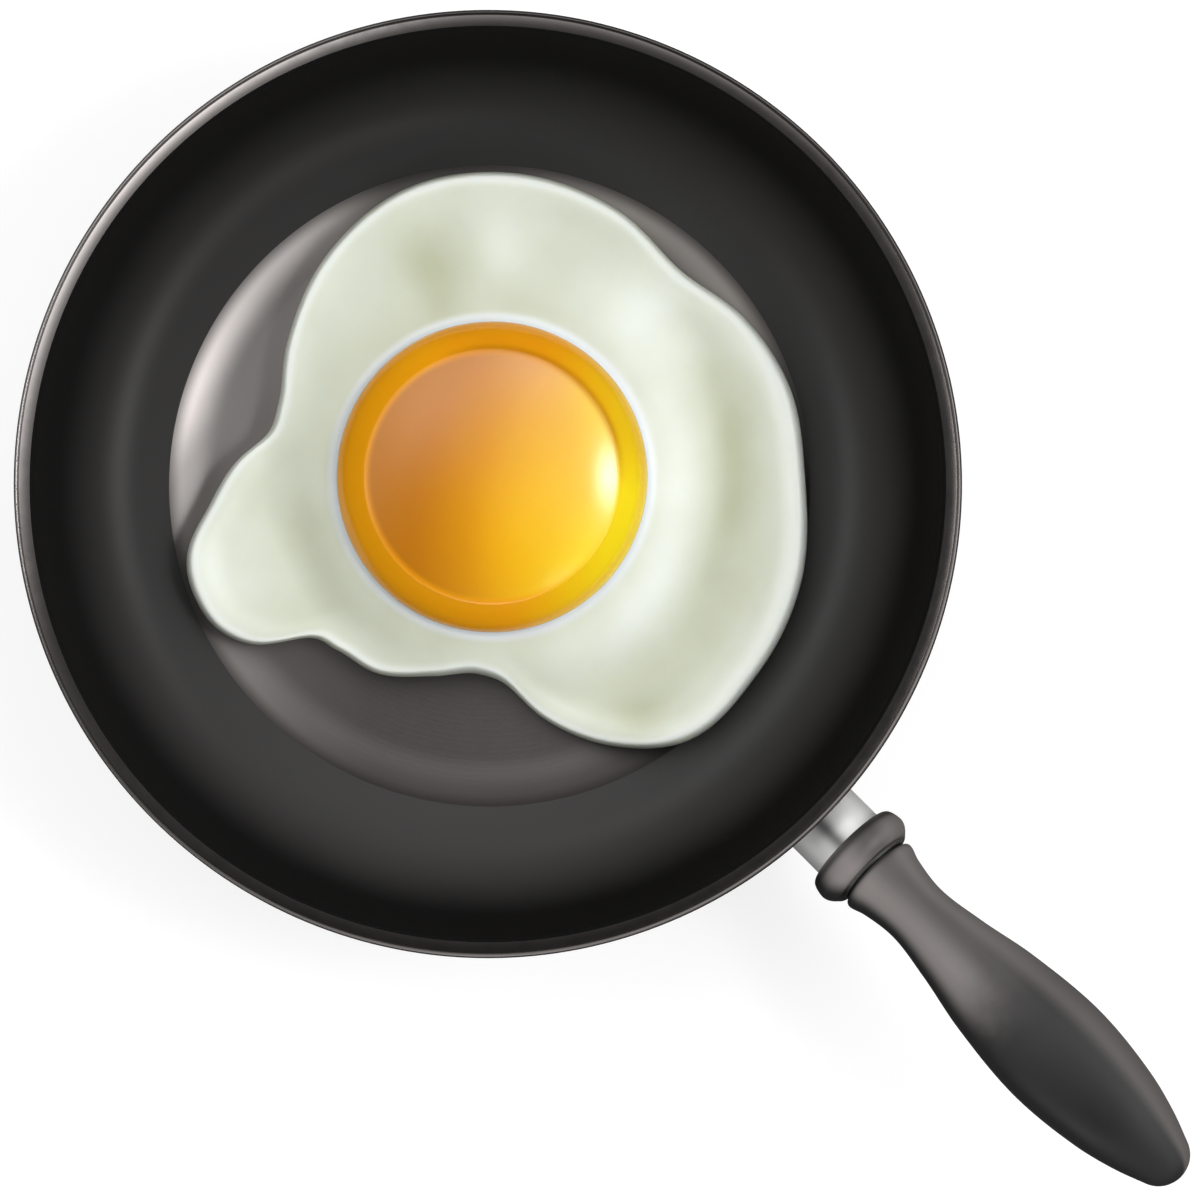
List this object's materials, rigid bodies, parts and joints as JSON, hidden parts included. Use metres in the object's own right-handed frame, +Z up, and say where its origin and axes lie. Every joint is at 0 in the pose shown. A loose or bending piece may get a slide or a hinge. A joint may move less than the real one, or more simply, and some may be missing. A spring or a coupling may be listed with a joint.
{
  "type": "fried egg",
  "caption": "Fried egg, sunny side up, lying in the small round non-stick frying pan it was cooked in, with a steel ferrule and a waisted dark grip.",
  "frame": {"origin": "the centre of the pan's flat underside, which the pan stands on", "axes": "+Z is up, out of the pan; +X runs from the pan's centre along the handle"},
  "size_m": [0.2143, 0.14, 0.0395],
  "materials": {
    "non_stick_coating": "satin",
    "pan_metal": "satin",
    "polished_steel": "polished",
    "handle_plastic": "satin",
    "egg_white": "satin",
    "egg_yolk": "gloss"
  },
  "bodies": {
    "root": {"pan_body": "non_stick_coating", "ferrule": "polished_steel", "handle_collar": "handle_plastic", "handle_grip": "handle_plastic", "egg_white": "egg_white", "egg_yolk": "egg_yolk"}
  },
  "joints": []
}
